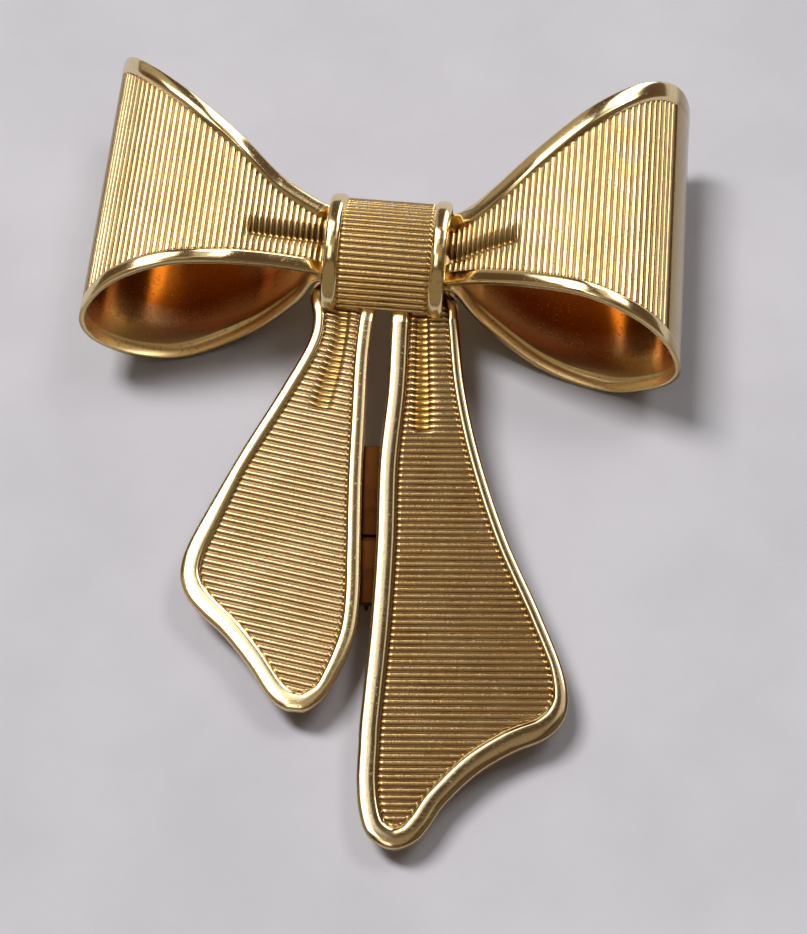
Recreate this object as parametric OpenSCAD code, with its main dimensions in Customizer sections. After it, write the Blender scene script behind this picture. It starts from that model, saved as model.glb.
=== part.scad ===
/* [Sheet metal] */
// Thickness of the stamped sheet
sheet_t = 0.45; // [0.35:0.05:0.6]
// Width of the smooth raised rims along the loops' bottom edges
rim_w = 1.4; // [1:0.05:1.8]
// Height of a rim's crest above the ribbed field
rim_h = 0.35; // [0.2:0.05:0.5]
// Clearance between pieces that are pinched or soldered together
seat = 0.1; // [0.05:0.05:0.2]

/* [Knot] */
// Height of the knot's centre line above the surface that the brooch lies on
axis_h = 5.8; // [5.5:0.1:8]
// Length of the knot band, along the bow
knot_w = 11.3; // [9:0.1:14]
// Radius of the knot's round front, at its rims
knot_r = 6.75; // [6.5:0.05:9]
// Height of the knot's flat back above its centre line
knot_back = 2; // [1.5:0.1:2.2]
// Width of the knot's own rims
knot_rim = 1.5; // [0.8:0.05:2]
// Gap between the ends of the two loops, hidden inside the knot
seam = 0.6; // [0.2:0.1:2]

/* [Left loop] */
// Distance from the middle of the knot out to the fold
left_reach = 27.9; // [25:0.1:32]
// Height of the front layer's crest above the knot's centre line
left_rise = 9.1; // [7.5:0.1:12]
// Distance from the knot's centre line up to the top edge at the fold
left_top = 19; // [15:0.1:24]
// Distance from the knot's centre line down to the bottom edge at the fold
left_bottom = 10.5; // [8:0.1:14]
// How much less the fold reaches out at its bottom edge than at its top edge
left_slant = 0.9; // [0:0.1:1.5]
// Width of the rim along the top edge
left_rim = 1.55; // [1:0.05:2.2]

/* [Right loop] */
// Distance from the middle of the knot out to the fold
right_reach = 27.3; // [25:0.1:32]
// Height of the front layer's crest above the knot's centre line
right_rise = 9.8; // [7.5:0.1:12]
// Distance from the knot's centre line up to the top edge at the fold
right_top = 19.6; // [15:0.1:24]
// Distance from the knot's centre line down to the bottom edge at the fold
right_bottom = 10.2; // [8:0.1:14]
// Width of the rim along the top edge
right_rim = 1.9; // [1:0.05:2.2]

/* [Tails] */
// Length of the long tail, from the knot's centre line to its tip
long_len = 55.3; // [48:0.1:62]
// Greatest width of the long tail
long_w = 17.4; // [14:0.1:20]
// Lean of the long tail away from straight down
long_lean = 8.5; // [5:0.5:14]
// Distance from the middle of the knot to the long tail's middle line
long_x = 3.2; // [3:0.1:5]
// Width of the long tail's rim beside the gap
long_gap_rim = 1.85; // [1:0.05:2.2]
// Length of the short tail, from the knot's centre line to its tip
short_len = 43.8; // [38:0.1:48]
// Greatest width of the short tail
short_w = 16.6; // [13:0.1:18]
// Lean of the short tail away from straight down
short_lean = 11.5; // [9:0.5:16]
// Distance from the middle of the knot to the short tail's middle line
short_x = 2.4; // [2.4:0.1:4]
// Width of the short tail's rim beside the gap
short_gap_rim = 1.5; // [1:0.05:2.2]
// Width of the rims along the tails' outer sides
outer_rim = 1.1; // [0.8:0.05:1.6]
// Drop from the tails' top down to the long tail's tip
tail_drop = 4.3; // [2:0.1:5]

/* [Pleats] */
// Width of the pleats pressed into the strips beside the knot
pleat_w = 2; // [1.5:0.1:3]
// Depth of the pleats
pleat_depth = 0.9; // [0.4:0.05:1.1]
// Length of the left loop's pleat, from the knot's edge
left_pleat = 7.6; // [5:0.1:12]
// Length of the right loop's pleat, from the knot's edge
right_pleat = 6.8; // [5:0.1:12]
// Length of the long tail's pleat, from the knot's edge
long_pleat = 11.2; // [6:0.1:14]
// Length of the short tail's pleat, from the knot's edge
short_pleat = 9.8; // [6:0.1:14]

/* [Pin finding] */
// Length of the bar that is soldered across the gap between the tails
bar_len = 15; // [13.5:0.5:17]
// Width of the bar
bar_w = 4.6; // [3:0.1:6]
// Thickness of the bar
bar_t = 0.8; // [0.6:0.05:1]
// Distance from the knot's centre line down to the middle of the bar
bar_y = 26.4; // [24:0.1:29]
// Distance from the bar's top end down to the groove across it
groove_y = 9.1; // [8:0.1:10]
// Diameter of the pin's stem
stem_d = 0.9; // [0.7:0.05:1.1]
// Space between the bar and the stem, where the cloth goes
cloth_gap = 0.75; // [0.5:0.05:0.8]
// Length of the stem past the catch, with its point
stem_past = 0.9; // [0.6:0.1:1.2]

/* [Hidden] */
$fn = 64;
gold = [0.86, 0.72, 0.42];
gold_back = [0.72, 0.56, 0.3];

// Rim section from the sheet's cut edge to the foot at the field: across, height
rim_shape = [[0, 0.3], [0.2, 0.85], [0.48, 1], [0.78, 0.6], [1, 0]];
// Pleat section from one side to the other: offset as a share of half its width, depth
pleat_shape = [[-1, 0], [-0.5, 0.72], [0, 1], [0.5, 0.72], [1, 0]];
// Share of a pleat's length over which its outer end rises back to the field
pleat_end = 0.2;
// Pleats of the loops: height beside the knot, climb for each mm outwards
left_fold_line = [0.6, -0.31];
right_fold_line = [-0.6, 0];
// Pleats of the tails: share of the field's width, from its left side
long_fold_line = 0.32;
short_fold_line = 0.52;

// Layers pinched inside the knot, as heights of their middles above its centre line
knot_in = knot_r - rim_h - sheet_t;
back_layer = knot_back + sheet_t + seat + rim_h + sheet_t / 2;
front_layer = back_layer + sheet_t + seat;
tail_layer = knot_back - seat - rim_h - sheet_t / 2;
strip_half = sqrt(pow(knot_in, 2) - pow(front_layer + sheet_t / 2 + rim_h, 2)) - 2 * seat;

// Sections of the left loop, from the front of the knot round the fold to its back.
// Columns: out from the knot's edge, lift, top edge, bottom edge. A lift above zero is
// a share of the rise and one below zero a share of the depth down to the surface.
left_rows = [
    [0.06, 0.47, 0.21, 0.39],
    [0.22, 0.67, 0.272, 0.48],
    [0.41, 0.92, 0.425, 0.635],
    [0.63, 1.00, 0.62, 0.75],
    [0.83, 0.89, 0.82, 0.88],
    [0.95, 0.65, 0.96, 0.98],
    [1.00, 0.30, 1.00, 1.00],
    [0.96, -0.20, 0.94, 0.95],
    [0.81, -0.80, 0.78, 0.87],
    [0.60, -1.00, 0.57, 0.77],
    [0.33, -0.76, 0.36, 0.54],
    [0.13, -0.08, 0.25, 0.41],
    [0.05, 0.26, 0.21, 0.375]
];

// Sections of the right loop, with the same columns
right_rows = [
    [0.06, 0.44, 0.21, 0.405],
    [0.17, 0.63, 0.27, 0.50],
    [0.35, 0.86, 0.445, 0.65],
    [0.57, 1.00, 0.67, 0.79],
    [0.77, 0.93, 0.86, 0.91],
    [0.91, 0.71, 0.96, 0.98],
    [0.99, 0.37, 1.00, 1.00],
    [1.00, 0.02, 0.98, 0.95],
    [0.92, -0.55, 0.90, 0.885],
    [0.72, -0.98, 0.72, 0.81],
    [0.44, -0.88, 0.48, 0.65],
    [0.17, -0.22, 0.28, 0.435],
    [0.05, 0.26, 0.21, 0.385]
];

// Sections of the tails, from the top behind the knot to the start of the round tip.
// Columns: left edge along and aside, right edge along and aside, as shares of the
// tail's length and width.
long_rows = [
    [0.030, -0.10, 0.030, 0.10],
    [0.085, -0.17, 0.085, 0.17],
    [0.135, -0.19, 0.135, 0.175],
    [0.245, -0.225, 0.245, 0.185],
    [0.37, -0.285, 0.37, 0.24],
    [0.51, -0.32, 0.51, 0.345],
    [0.64, -0.365, 0.64, 0.485],
    [0.75, -0.415, 0.74, 0.575],
    [0.805, -0.44, 0.80, 0.57],
    [0.84, -0.45, 0.838, 0.47],
    [0.87, -0.46, 0.86, 0.29],
    [0.90, -0.465, 0.89, 0.115],
    [0.937, -0.46, 0.935, -0.05],
    [0.97, -0.435, 0.972, -0.14]
];

short_rows = [
    [0.035, -0.13, 0.035, 0.10],
    [0.115, -0.20, 0.105, 0.17],
    [0.18, -0.135, 0.17, 0.20],
    [0.24, -0.12, 0.25, 0.245],
    [0.355, -0.175, 0.365, 0.325],
    [0.51, -0.265, 0.50, 0.42],
    [0.65, -0.33, 0.64, 0.53],
    [0.735, -0.36, 0.73, 0.60],
    [0.79, -0.345, 0.79, 0.635],
    [0.83, -0.28, 0.83, 0.645],
    [0.86, -0.165, 0.87, 0.64],
    [0.89, -0.01, 0.91, 0.625],
    [0.935, 0.175, 0.945, 0.60],
    [0.973, 0.305, 0.975, 0.55]
];

// Round tips of the tails: along and aside
long_tip = [[0.99, -0.38], [1, -0.30], [0.992, -0.21]];
short_tip = [[0.992, 0.385], [1, 0.45], [0.992, 0.51]];

// Point at place u on the smooth curve through the rows of a table
function smooth(rows, u) =
    let (
        last = len(rows) - 1,
        i = min(floor(u), last - 1),
        t = u - i,
        a = rows[max(i - 1, 0)],
        b = rows[i],
        c = rows[i + 1],
        d = rows[min(i + 2, last)]
    )
    0.5 * (2 * b + (c - a) * t + (2 * a - 5 * b + 4 * c - d) * t * t
        + (3 * b - 3 * c + d - a) * t * t * t);

// Direction of the curve at place u, over a short step each way
function run_of(rows, u) =
    let (step = 0.05)
    smooth(rows, min(u + step, len(rows) - 1)) - smooth(rows, max(u - step, 0));

// Unit vector square to the curve at place u: to the left of its direction
function side_of(rows, u) =
    let (d = run_of(rows, u))
    [-d[1], d[0]] / norm([d[0], d[1]]);

// Smooth step from 1 down to 0 between two places
function fade(x, from, to) =
    let (t = min(max((x - from) / (to - from), 0), 1))
    1 - t * t * (3 - 2 * t);

// Depth of a pleat at a distance from the knot's edge
function pleat_at(out, length) =
    let (start = 0.4 * knot_rim)
    pleat_depth * fade(out, length * (1 - pleat_end), length) * (1 - fade(out, -start, start));

// The seven columns between the feet of two rims at 0 and 1, with the pleat's five round
// its middle: place and depth
function field_columns(mid, span) =
    let (half = min(pleat_w / 2 / span, 0.3, 0.85 * mid, 0.85 * (1 - mid)))
    concat(
        [[(mid - half) / 2, 0]],
        [for (p = pleat_shape) [mid + p[0] * half, p[1]]],
        [[(mid + half + 1) / 2, 0]]
    );

// Triangles of a grid of points, seen clockwise from outside, and its border
function grid_faces(rows, cols) =
    [for (i = [0 : rows - 2], j = [0 : cols - 2])
        let (a = i * cols + j, b = a + 1, c = a + cols, d = c + 1)
        each [[a, b, d], [a, d, c]]];

function grid_border(rows, cols) =
    concat(
        [for (j = [0 : cols - 2]) j],
        [for (i = [0 : rows - 2]) i * cols + cols - 1],
        [for (j = [cols - 1 : -1 : 1]) (rows - 1) * cols + j],
        [for (i = [rows - 1 : -1 : 1]) i * cols]
    );

// Thin sheet between front points and back points that share their faces and border
module sheet(front, back, faces, border) {
    n = len(front);
    e = len(border);
    walls = [for (i = [0 : e - 1])
        let (a = border[i], b = border[(i + 1) % e])
        each [[b, a, a + n], [b, a + n, b + n]]];
    turned = [for (f = faces) [f[0] + n, f[2] + n, f[1] + n]];
    polyhedron(points = concat(front, back), faces = concat(faces, turned, walls), convexity = 6);
}

// Sections of a loop in its own plane: out, height above the centre line, top, bottom
function loop_sections(reach, rise, top, bottom, rows) =
    let (edge = knot_w / 2, inner = edge - knot_rim, drop = axis_h - sheet_t / 2 - rim_h)
    concat(
        [for (out = [seam / 2, inner, edge]) [out, front_layer, strip_half, strip_half]],
        [for (r = rows)
            [edge + r[0] * (reach - edge), r[1] * (r[1] > 0 ? rise : drop), r[2] * top, r[3] * bottom]],
        [for (out = [edge, inner, seam / 2]) [out, back_layer, strip_half, strip_half]]
    );

// Columns across a loop at one section, from the bottom edge to the top edge: height
// along the fold, relief of the rims and depth of the pleat
function loop_columns(s, run, pleat_y, top_rim) =
    let (
        along = norm([run[0], run[1]]),
        low = -s[3],
        high = s[2],
        low_rim = rim_w * sqrt(1 + pow(run[3] / along, 2)),
        high_rim = top_rim * sqrt(1 + pow(run[2] / along, 2)),
        start = low + low_rim,
        span = high - high_rim - start
    )
    concat(
        [for (r = rim_shape) [low + r[0] * low_rim, r[1] * rim_h, 0]],
        [for (f = field_columns((pleat_y - start) / span, span)) [start + f[0] * span, 0, f[1]]],
        [for (k = [len(rim_shape) - 1 : -1 : 0])
            [high - rim_shape[k][0] * high_rim, rim_shape[k][1] * rim_h, 0]]
    );

// A loop on the right of the knot: one strip that runs out, folds and comes back. Each
// place of the grid holds a point on the outside and one on the inside. The rims are
// flush at the fold.
function loop_grid(reach, rise, top, bottom, rows, top_rim, slant, length, fold_line) =
    let (
        path = loop_sections(reach, rise, top, bottom, rows),
        last = len(path) - 1,
        edge = knot_w / 2,
        thirds = 3 * (last - 4),
        places = concat([0, 1], [for (k = [0 : thirds]) 2 + k / 3], [last - 1, last])
    )
    [for (u = places)
        let (
            s = smooth(path, u),
            n = side_of(path, u),
            out = s[0] - edge,
            depth = u < last / 2 ? pleat_at(out, length) : 0,
            pleat_y = fold_line[0] + fold_line[1] * min(max(out, 0), length),
            share = max(out, 0) / (reach - edge)
        )
        [for (c = loop_columns(s, run_of(path, u), pleat_y, top_rim))
            let (
                back_off = slant * share * (s[2] - c[0]) / (s[2] + s[3]),
                relief = c[1] * (1 - pow(n.x, 2)) - c[2] * depth,
                at = [s[0] - back_off, c[0], axis_h + s[1]],
                off = [n.x, 0, n.y]
            )
            [at + off * (relief + sheet_t / 2), at + off * (relief - sheet_t / 2)]]];

module loop(grid) {
    cols = len(grid[0]);
    sheet(
        [for (row = grid, p = row) p[0]],
        [for (row = grid, p = row) p[1]],
        grid_faces(len(grid), cols),
        grid_border(len(grid), cols)
    );
}

// Height of the middle of the tails' sheet at a distance from the knot's centre line
function tail_level(along) =
    let (share = min(max((along - knot_r) / (long_len - knot_r), 0), 1))
    axis_h + tail_layer - tail_drop * (1 - pow(1 - share, 1.6));

// Outline of a tail in its own axes: x across and -y along
function tail_outline(length, width, rows, tip) =
    concat(
        [for (r = rows) [r[1] * width, -r[0] * length]],
        [for (p = tip) [p[1] * width, -p[0] * length]],
        [for (i = [len(rows) - 1 : -1 : 0]) [rows[i][3] * width, -rows[i][2] * length]]
    );

// Columns over the field of a tail, where a column ends at each rim's foot
field_cells = len(pleat_shape) + 3;

// Rim of a tail: for each place round its outline the points from the cut edge to the
// foot, with their relief
function tail_rim(length, width, rows, tip, rim_a, rim_b) =
    let (
        outline = tail_outline(length, width, rows, tip),
        last = len(outline) - 1,
        side = len(rows) - 1,
        across = last - 2 * side,
        around = concat(
            [for (i = [0 : 2 * side]) i / 2],
            [for (c = [1 : field_cells - 1]) side + c / field_cells * across],
            [for (i = [2 * side : -1 : 0]) last - i / 2]
        )
    )
    [for (u = around)
        let (
            p = smooth(outline, u),
            s = side_of(outline, u),
            blend = fade(u, side - 1, last - side + 1),
            w = rim_a * blend + rim_b * (1 - blend)
        )
        [for (r = rim_shape) [p.x + s.x * w * r[0], p.y + s.y * w * r[0], r[1] * rim_h]]];

// A tail. Its field is a grid of rungs from rim to rim, the rim runs round it, and the
// last rung is the foot of the rim's tip.
module tail(rim, rows, length, fold_line) {
    m = field_cells;
    n = len(rim) - 1;
    rungs = 2 * (len(rows) - 1);
    foot = len(rim_shape) - 1;
    field = [for (i = [0 : rungs])
        let (
            a = rim[i][foot],
            b = rim[n - i][foot],
            depth = pleat_at(-(a.y + b.y) / 2 - knot_r, length),
            columns = concat([[0, 0]], field_columns(fold_line, norm([b.x - a.x, b.y - a.y])), [[1, 0]])
        )
        [for (c = [0 : m])
            i < rungs
            ? [a.x + (b.x - a.x) * columns[c][0], a.y + (b.y - a.y) * columns[c][0], -depth * columns[c][1]]
            : rim[rungs + c][foot]]];
    points = concat(
        [for (row = field, p = row) p],
        [for (r = rim, j = [foot - 1 : -1 : 0]) r[j]]
    );
    fields = (rungs + 1) * (m + 1);
    // Number of the point at rim place b and ring j, where ring 0 is the field's edge
    at = function(b, j)
        j > 0 ? fields + b * foot + j - 1
        : b <= rungs ? b * (m + 1)
        : b < n - rungs ? rungs * (m + 1) + b - rungs
        : (n - b) * (m + 1) + m;
    rim_faces = [for (b = [0 : n - 1], j = [0 : foot - 1])
        let (p = at(b, j), q = at(b + 1, j), r = at(b + 1, j + 1), s = at(b, j + 1))
        each [[p, q, r], [p, r, s]]];
    border = concat(
        [for (b = [n : -1 : 0]) at(b, foot)],
        [for (j = [foot - 1 : -1 : 1]) at(0, j)],
        [for (c = [0 : m]) c],
        [for (j = [1 : foot - 1]) at(n, j)]
    );
    sheet(
        [for (p = points) [p.x, p.y, tail_level(-p.y) + p.z + sheet_t / 2]],
        [for (p = points) [p.x, p.y, tail_level(-p.y) + p.z - sheet_t / 2]],
        concat(grid_faces(rungs + 1, m + 1), rim_faces),
        border
    );
}

// Section of the knot band across its length, with a round rim at each side
module knot_section() {
    half = knot_w / 2;
    low = knot_r - rim_h;
    steps = 8;
    bead = [for (k = [0 : steps])
        let (t = k / steps)
        [t * knot_rim, rim_h * pow(sin(180 * pow(t, 0.8)), 0.7)]];
    polygon(concat(
        [[low - sheet_t, -half], [low, -half]],
        [for (b = bead) [low + b[1], b[0] - half]],
        [for (k = [steps : -1 : 0]) [low + bead[k][1], half - bead[k][0]]],
        [[low, half], [low - sheet_t, half]]
    ));
}

// A tail's edge beside the gap: its place across the bow at a distance down from the knot
function gap_edge(down, rows, column, length, width, lean, middle) =
    let (
        table = [for (r = rows) [r[column] * length, r[column + 1] * width]],
        near = lookup(down / cos(lean), table),
        along = (down + near * sin(lean)) / cos(lean)
    )
    middle + lookup(along, table) * cos(lean) + along * sin(lean);

// Middle of the gap between the tails
function gap_x(down) =
    (gap_edge(down, short_rows, 2, short_len, short_w, -short_lean, -short_x)
        + gap_edge(down, long_rows, 0, long_len, long_w, long_lean, long_x)) / 2;

// The finding in its own axes: the bar's front face at z = 0 and the knuckle at its top
// end. The stem runs down from the knuckle into the catch.
module finding() {
    stem_z = -bar_t - cloth_gap - stem_d / 2;
    post_w = 0.7 * bar_w;
    knuckle_r = stem_d / 2 + cloth_gap;
    knuckle_y = bar_len / 2 - knuckle_r - bar_t / 2;
    hook_len = 2 * stem_d;
    hook_in = stem_d / 2 + seat;
    hook_r = hook_in + 0.6 * stem_d;
    hook_y = hook_len - bar_len / 2;
    point = 2.5 * stem_d;
    stem_end = hook_y - hook_len / 2 - stem_past;
    groove_w = 0.6 * bar_t;
    difference() {
        translate([-bar_w / 2, -bar_len / 2, -bar_t])
        cube([bar_w, bar_len, bar_t]);
        translate([-bar_w, bar_len / 2 - groove_y, -bar_t / 2])
        cube([2 * bar_w, groove_w, bar_t]);
    }
    // Knuckle that carries the stem
    translate([0, knuckle_y, stem_z])
    rotate([0, 90, 0])
    cylinder(h = post_w, r = knuckle_r, center = true, $fn = 32);
    translate([-post_w / 2, knuckle_y - knuckle_r, stem_z])
    cube([post_w, 2 * knuckle_r, -stem_z - bar_t / 2]);
    // Stem and its point
    translate([0, knuckle_y, stem_z])
    rotate([90, 0, 0])
    cylinder(h = knuckle_y - stem_end - point, d = stem_d, $fn = 24);
    translate([0, stem_end + point, stem_z])
    rotate([90, 0, 0])
    cylinder(h = point, d1 = stem_d, d2 = stem_d / 4, $fn = 24);
    // Catch: a hook open to one side, on a short post
    translate([0, hook_y, stem_z])
    difference() {
        union() {
            rotate([90, 0, 0])
            cylinder(h = hook_len, r = hook_r, center = true, $fn = 32);
            translate([-hook_r, -hook_len / 2, 0])
            cube([hook_r - hook_in / 2, hook_len, -stem_z - bar_t / 2]);
        }
        rotate([90, 0, 0])
        cylinder(h = 2 * hook_len, r = hook_in, center = true, $fn = 32);
        translate([0, -hook_len, -stem_d / 8])
        cube([2 * hook_r, 2 * hook_len, hook_in + stem_d / 8]);
    }
}

left_grid = loop_grid(left_reach, left_rise, left_top, left_bottom, left_rows,
    left_rim, left_slant, left_pleat, left_fold_line);
right_grid = loop_grid(right_reach, right_rise, right_top, right_bottom, right_rows,
    right_rim, 0, right_pleat, right_fold_line);
long_rim = tail_rim(long_len, long_w, long_rows, long_tip, long_gap_rim, outer_rim);
short_rim = tail_rim(short_len, short_w, short_rows, short_tip, outer_rim, short_gap_rim);

// Extents of the bow: the loops give its width, its top and its lowest line, and the
// long tail its bottom end. The origin is the middle of these on the resting surface.
span_x = concat(
    [for (row = left_grid, pair = row, p = pair) -p.x],
    [for (row = right_grid, pair = row, p = pair) p.x]
);
span_y = concat(
    [for (row = concat(left_grid, right_grid), pair = row, p = pair) p.y],
    [for (place = long_rim, p = place) p.x * sin(long_lean) + p.y * cos(long_lean)]
);
span_z = [for (row = concat(left_grid, right_grid), pair = row, p = pair) p.z];
origin = [(min(span_x) + max(span_x)) / 2, (min(span_y) + max(span_y)) / 2, min(span_z)];

module loop_left() {
    color(gold)
    translate(-origin)
    mirror([1, 0, 0])
    loop(left_grid);
}

module loop_right() {
    color(gold)
    translate(-origin)
    loop(right_grid);
}

// The knot: a band with a round front and a flat back that holds both loops
module knot_band() {
    color(gold)
    translate([0, 0, axis_h] - origin) {
        difference() {
            rotate([0, 90, 0])
            rotate_extrude($fn = 128)
            knot_section();
            translate([-knot_w, -2 * knot_r, -3 * knot_r + knot_back])
            cube([2 * knot_w, 4 * knot_r, 3 * knot_r]);
        }
        intersection() {
            rotate([0, 90, 0])
            cylinder(h = knot_w, r = knot_r - rim_h, center = true, $fn = 128);
            translate([-knot_w / 2, -knot_r, knot_back])
            cube([knot_w, 2 * knot_r, sheet_t]);
        }
    }
}

module tail_short() {
    color(gold)
    translate([-short_x, 0, 0] - origin)
    rotate([0, 0, -short_lean])
    tail(short_rim, short_rows, short_pleat, short_fold_line);
}

module tail_long() {
    color(gold)
    translate([long_x, 0, 0] - origin)
    rotate([0, 0, long_lean])
    tail(long_rim, long_rows, long_pleat, long_fold_line);
}

// The finding lies behind both tails, along the gap between them
module pin_finding() {
    top = bar_y - bar_len / 2;
    end = bar_y + bar_len / 2;
    turn = atan((gap_x(end) - gap_x(top)) / bar_len);
    slope = atan((tail_level(top) - tail_level(end)) / bar_len);
    color(gold_back)
    translate([gap_x(bar_y), -bar_y, tail_level(bar_y) - sheet_t / 2 - seat] - origin)
    rotate([0, 0, turn])
    rotate([slope, 0, 0])
    finding();
}

loop_left();
loop_right();
knot_band();
tail_short();
tail_long();
pin_finding();
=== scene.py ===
from math import acos, cos, hypot, pi, radians, sin, sqrt

import bmesh
import bpy
from mathutils import Matrix, Vector


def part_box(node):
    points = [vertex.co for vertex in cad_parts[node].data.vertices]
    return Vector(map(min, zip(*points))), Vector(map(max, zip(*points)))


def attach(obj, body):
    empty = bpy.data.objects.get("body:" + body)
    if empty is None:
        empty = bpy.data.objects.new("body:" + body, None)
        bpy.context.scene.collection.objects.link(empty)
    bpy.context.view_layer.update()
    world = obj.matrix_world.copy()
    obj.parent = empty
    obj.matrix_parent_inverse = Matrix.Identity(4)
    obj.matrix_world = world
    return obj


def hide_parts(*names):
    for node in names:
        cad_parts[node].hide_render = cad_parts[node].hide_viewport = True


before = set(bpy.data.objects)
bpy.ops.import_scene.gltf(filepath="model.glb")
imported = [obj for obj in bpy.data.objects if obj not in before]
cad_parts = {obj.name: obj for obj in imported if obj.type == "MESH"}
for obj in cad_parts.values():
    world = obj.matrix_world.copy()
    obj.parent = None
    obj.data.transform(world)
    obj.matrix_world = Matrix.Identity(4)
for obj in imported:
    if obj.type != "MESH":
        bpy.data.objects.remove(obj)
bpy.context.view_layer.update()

mm = 0.001

# The stamped gilt sheet that every strip of the bow is made of, lengths in mm
goldSheet = {
    "thickness": 0.45,
    "rimHeight": 0.35,
    "bottomRim": 1.4,
    "seat": 0.1,         # clearance between pieces that are pinched together
    # share of a rim's width from its cut edge, and height
    "rimShape": [(0, 0.42), (0.05, 0.6), (0.14, 0.8), (0.32, 0.925), (0.52, 1), (0.74, 0.995), (0.87, 0.88),
                 (0.94, 0.36), (1, 0)],
    "rimInside": [(0, 0.42), (0.05, 0.5), (0.17, 0.74), (0.36, 0.96), (0.56, 1), (0.76, 0.97), (0.84, 0.7),
                  (0.89, 0.12), (1, 0)],
}

# The pleats that run out from the knot. A shape is place across and depth, from one side to the
# other, and the ending is the share of a pleat's length over which it fades out.
pleatStart = (-1.2, -0.3)                                # out from the knot's edge, under the band
loopPleat = {
    "width": 2.4, "depth": 0.7, "ending": 0.12,
    "shape": [(-1, 0), (-0.9, 0.06), (-0.62, 0.55), (-0.38, 0.94), (-0.27, 1), (-0.12, 0.93), (0.3, 0.5),
              (0.85, 0.05), (1, 0)],
}
tailPleat = {
    "width": 2.4, "depth": 0.2, "ending": 0.08,
    "shape": [(-1, 0), (-0.86, 0.1), (-0.6, 0.75), (-0.42, 1), (0, 1), (0.42, 1), (0.58, 0.75),
              (0.84, 0.1), (1, 0)],
}

# The fine ribs pressed across every strip. Each strip has its own crest (share of the pitch
# that a crest takes) and crown (how much the crest falls towards its sides).
fineRibs = {
    "pitch": 0.597,
    "depth": 0.15,
    "flank": 0.05,       # half width of the slope beside a crest
    "endGap": 0.03,      # bare line between a rib's round end and the rim
    "fieldEdge": 0.06,   # the ribbed field comes in over this width
    # rows of points across one rib, as shares of the pitch, and columns in from a rim
    "rowPlaces": [0.0, 0.05, 0.1, 0.16, 0.24, 0.35, 0.5, 0.65, 0.76, 0.84, 0.9, 0.95],
    "edgeColumns": [0.06, 0.12, 0.18, 0.24, 0.3, 0.4, 0.55],
    "rowGap": 0.02,      # least distance of a row from a strip's end
}

# The band that pinches the strips, which are all set out from it
knot = {
    "length": 11.3,
    "radius": 6.75,
    "height": 5.8,       # the centre line above the floor
    "back": 2.0,         # the flat back above the centre line
    "rim": 1.5,
    "seam": 0.6,         # between the ends of the two loops, inside the knot
    "ribStart": 0.0, "crest": 0.74, "crown": 0.6,
    # share of the rim's width from the end, and height
    "bead": [(0, 0), (0.02, 0.3), (0.06, 0.6), (0.13, 0.82), (0.26, 0.96), (0.45, 1), (0.66, 0.99),
             (0.8, 0.9), (0.89, 0.66), (0.95, 0.34), (1, 0)],
    "moreColumns": [1.2, 2.2],  # nearer the middle
    "backSteps": 8,
    "bareEdge": 0.05,    # between the last rib and the flat back
}

thickness, rimHeight, seat = goldSheet["thickness"], goldSheet["rimHeight"], goldSheet["seat"]

# the knot's centre line, the layers inside it and the drop from there to the floor
knotLow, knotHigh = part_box("knot_band")
knotAt = Vector(((knotLow.x + knotHigh.x) / 2, (knotLow.y + knotHigh.y) / 2,
                 knotLow.z - knot["back"] * mm))
insideRadius = knot["radius"] - rimHeight - thickness
backLayer = knot["back"] + 1.5 * thickness + seat + rimHeight
frontLayer = backLayer + thickness + seat
tailLayer = knot["back"] - seat - rimHeight - thickness / 2
pinchedTop = frontLayer + thickness / 2 + rimHeight
pinchedHalf = sqrt(insideRadius ** 2 - pinchedTop ** 2) - 2 * seat
floorDrop = knot["height"] - thickness / 2 - rimHeight


# the row at place u of a smooth curve through a table's rows
def smoothRow(rows, u):
    last = len(rows) - 1
    i = min(int(u), last - 1)
    t = u - i
    a, b, c, d = rows[max(i - 1, 0)], rows[i], rows[i + 1], rows[min(i + 2, last)]
    return [0.5 * (2 * q + (r - p) * t + (2 * p - 5 * q + 4 * r - s) * t * t
                   + (3 * q - 3 * r + s - p) * t ** 3)
            for p, q, r, s in zip(a, b, c, d)]


# how a curve runs at u, from two places beside it
def runOf(rows, u):
    beside = 0.05
    a = smoothRow(rows, max(u - beside, 0))
    b = smoothRow(rows, min(u + beside, len(rows) - 1))
    return [q - p for p, q in zip(a, b)]


# unit vector to the left of the curve's direction
def sideOf(rows, u):
    d = runOf(rows, u)
    n = hypot(d[0], d[1])
    return -d[1] / n, d[0] / n


# 1 before the start and 0 past the end
def fade(x, start, end):
    t = min(max((x - start) / (end - start), 0), 1)
    return 1 - t * t * (3 - 2 * t)


# the second value of a table of pairs where the first is x
def readTable(table, x):
    lo, hi = 0, len(table) - 1
    while hi - lo > 1:
        mid = (lo + hi) // 2
        if table[mid][0] <= x:
            lo = mid
        else:
            hi = mid
    a, b = table[lo], table[hi]
    t = min(max((x - a[0]) / (b[0] - a[0]), 0), 1) if b[0] > a[0] else 0
    return a[1] + (b[1] - a[1]) * t


# depth of a pleat, so far out from the knot
def pleatAt(out, length, pleat):
    return pleat["depth"] * fade(out, length * (1 - pleat["ending"]), length) * (1 - fade(out, *pleatStart))


# places along a strip where its ribs need a row of points
def ribRows(start, end, ribStart):
    pitch = fineRibs["pitch"]
    places = []
    n = int((start - ribStart) / pitch) - 1
    while ribStart + n * pitch < end:
        for share in fineRibs["rowPlaces"]:
            s = ribStart + (n + share) * pitch
            if start + fineRibs["rowGap"] < s < end - fineRibs["rowGap"]:
                places.append(s)
        n += 1
    return [start] + places + [end]


rimColumns = goldSheet["rimShape"]
foot = len(rimColumns) - 1                               # number of the column at a rim's foot
insideRise = {rise: inner for (x, rise), (y, inner) in zip(rimColumns, goldSheet["rimInside"])}


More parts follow.
